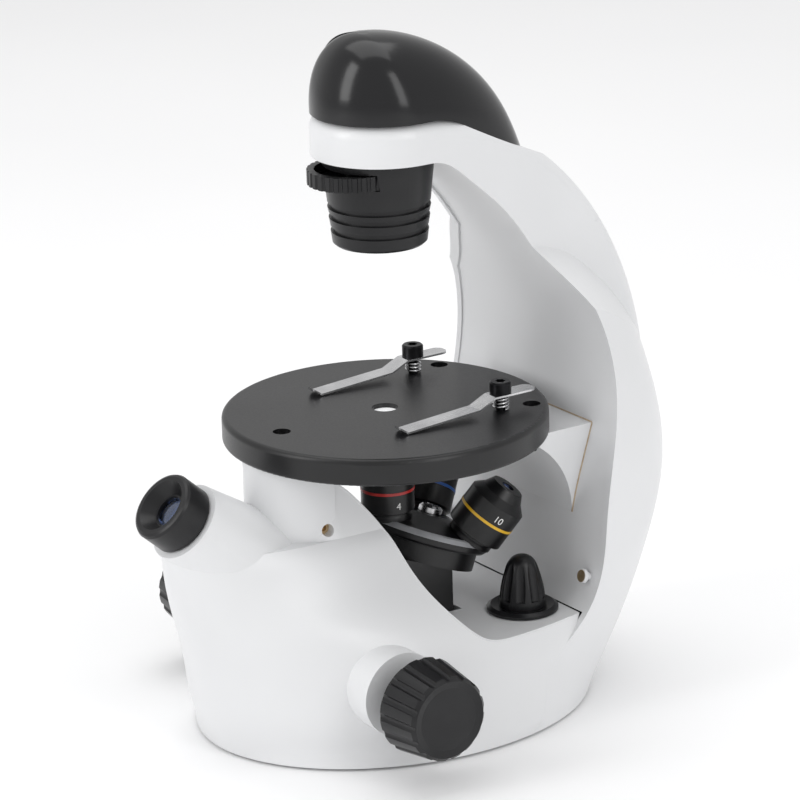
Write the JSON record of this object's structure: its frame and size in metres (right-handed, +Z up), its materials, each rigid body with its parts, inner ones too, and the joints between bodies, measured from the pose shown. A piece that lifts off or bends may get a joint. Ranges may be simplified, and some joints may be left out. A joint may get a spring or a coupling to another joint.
{
  "type": "inverted microscope",
  "caption": "Inverted student microscope: white arm and base, black round stage with clips, lamp head above, turning nosepiece with objectives below, slanted eyepiece in front.",
  "frame": {"origin": "on the table under the middle of the whole microscope", "axes": "+Z up, -Y towards the user at the eyepiece, +X to the user's right"},
  "size_m": [0.1968, 0.235, 0.2883],
  "materials": {
    "white_enamel": "satin",
    "black_gloss": "gloss",
    "black_plastic": "satin",
    "black_enamel": "satin",
    "bright_steel": "brushed",
    "black_steel": "oxide black",
    "brass": "turned",
    "lens_glass": "polished",
    "mirror": "polished",
    "rubber": "matte",
    "circuit": "satin",
    "lamp": "satin",
    "band_red": "gloss",
    "band_yellow": "gloss",
    "band_blue": "gloss",
    "aluminium": "machined"
  },
  "bodies": {
    "stand": {"arm_shell": "white_enamel", "arm_panel": "white_enamel", "top_cap": "black_gloss", "base_housing": "white_enamel", "base_plate": "black_enamel", "base_screws": "black_steel", "rubber_feet": "rubber", "circuit_board": "circuit", "power_socket": "black_plastic", "mirror": "mirror", "mirror_mount": "aluminium", "guide_rods": "bright_steel", "focus_bushes": "brass", "eyepiece_tube": "aluminium", "stage_plate": "black_enamel", "stage_glass": "lens_glass", "stage_bolts": "black_steel", "stage_bracket": "white_enamel", "clip_screws": "black_steel", "clip_springs": "bright_steel", "post_screws": "bright_steel", "panel_screws": "bright_steel", "condenser_barrel": "black_plastic", "collector_lens": "lens_glass", "diaphragm_pin": "bright_steel", "lamp_board": "circuit", "lamp_emitter": "lamp", "dimmer_pot": "aluminium"},
    "focus_carriage": {"focus_carriage": "black_enamel", "focus_rack": "brass", "nosepiece_base": "black_enamel", "turret_bolt": "bright_steel"},
    "nosepiece": {"nosepiece_turret": "black_enamel", "objective_4x": "black_enamel", "objective_10x": "black_enamel", "objective_40x": "black_enamel", "band_4x": "band_red", "band_10x": "band_yellow", "band_40x": "band_blue", "objective_lenses": "lens_glass"},
    "focus_drive": {"focus_shaft": "bright_steel", "focus_pinion": "brass", "focus_knob_right": "black_plastic", "focus_knob_left": "black_plastic"},
    "eyepiece": {"eyepiece": "black_plastic", "eye_lens": "lens_glass", "field_lens": "lens_glass"},
    "diaphragm": {"diaphragm_wheel": "black_plastic"},
    "dimmer": {"dimmer_knob": "black_plastic", "dimmer_shaft": "bright_steel"},
    "clip_right": {"clip_right": "bright_steel"},
    "clip_left": {"clip_left": "bright_steel"}
  },
  "joints": [
    {"name": "focus_slide", "type": "slide", "parent": "stand", "child": "focus_carriage", "axis": [0, 0, 1], "range_m": [-0.007, 0.002]},
    {"name": "focus_turn", "type": "hinge", "parent": "stand", "child": "focus_drive", "pos_m": [0, -0.038, 0.0325], "axis": [1, 0, 0], "range_deg": [-83.56, 23.87]},
    {"name": "nosepiece_turn", "type": "hinge", "parent": "focus_carriage", "child": "nosepiece", "pos_m": [0, 0.019, 0.075], "axis": [0, 0.3665, 0.9304], "continuous": true},
    {"name": "eyepiece_slide", "type": "slide", "parent": "stand", "child": "eyepiece", "axis": [0, -0.7466, 0.6652], "range_m": [0, 0.035]},
    {"name": "diaphragm_turn", "type": "hinge", "parent": "stand", "child": "diaphragm", "pos_m": [0, -0.0126, 0.228], "axis": [0, 0, 1], "continuous": true},
    {"name": "dimmer_turn", "type": "hinge", "parent": "stand", "child": "dimmer", "pos_m": [0.036, 0.042, 0.042], "axis": [0, 0, -1], "range_deg": [0, 270]},
    {"name": "clip_right_swing", "type": "hinge", "parent": "stand", "child": "clip_right", "pos_m": [0.0321, 0.0357, 0.1297], "axis": [0, 0, 1], "range_deg": [-40, 25]},
    {"name": "clip_left_swing", "type": "hinge", "parent": "stand", "child": "clip_left", "pos_m": [-0.0321, 0.0357, 0.1297], "axis": [0, 0, 1], "range_deg": [-25, 40]}
  ],
  "couplings": [
    {"joint": "focus_turn", "follows": "focus_slide", "rad_per_m": 208.33}
  ]
}
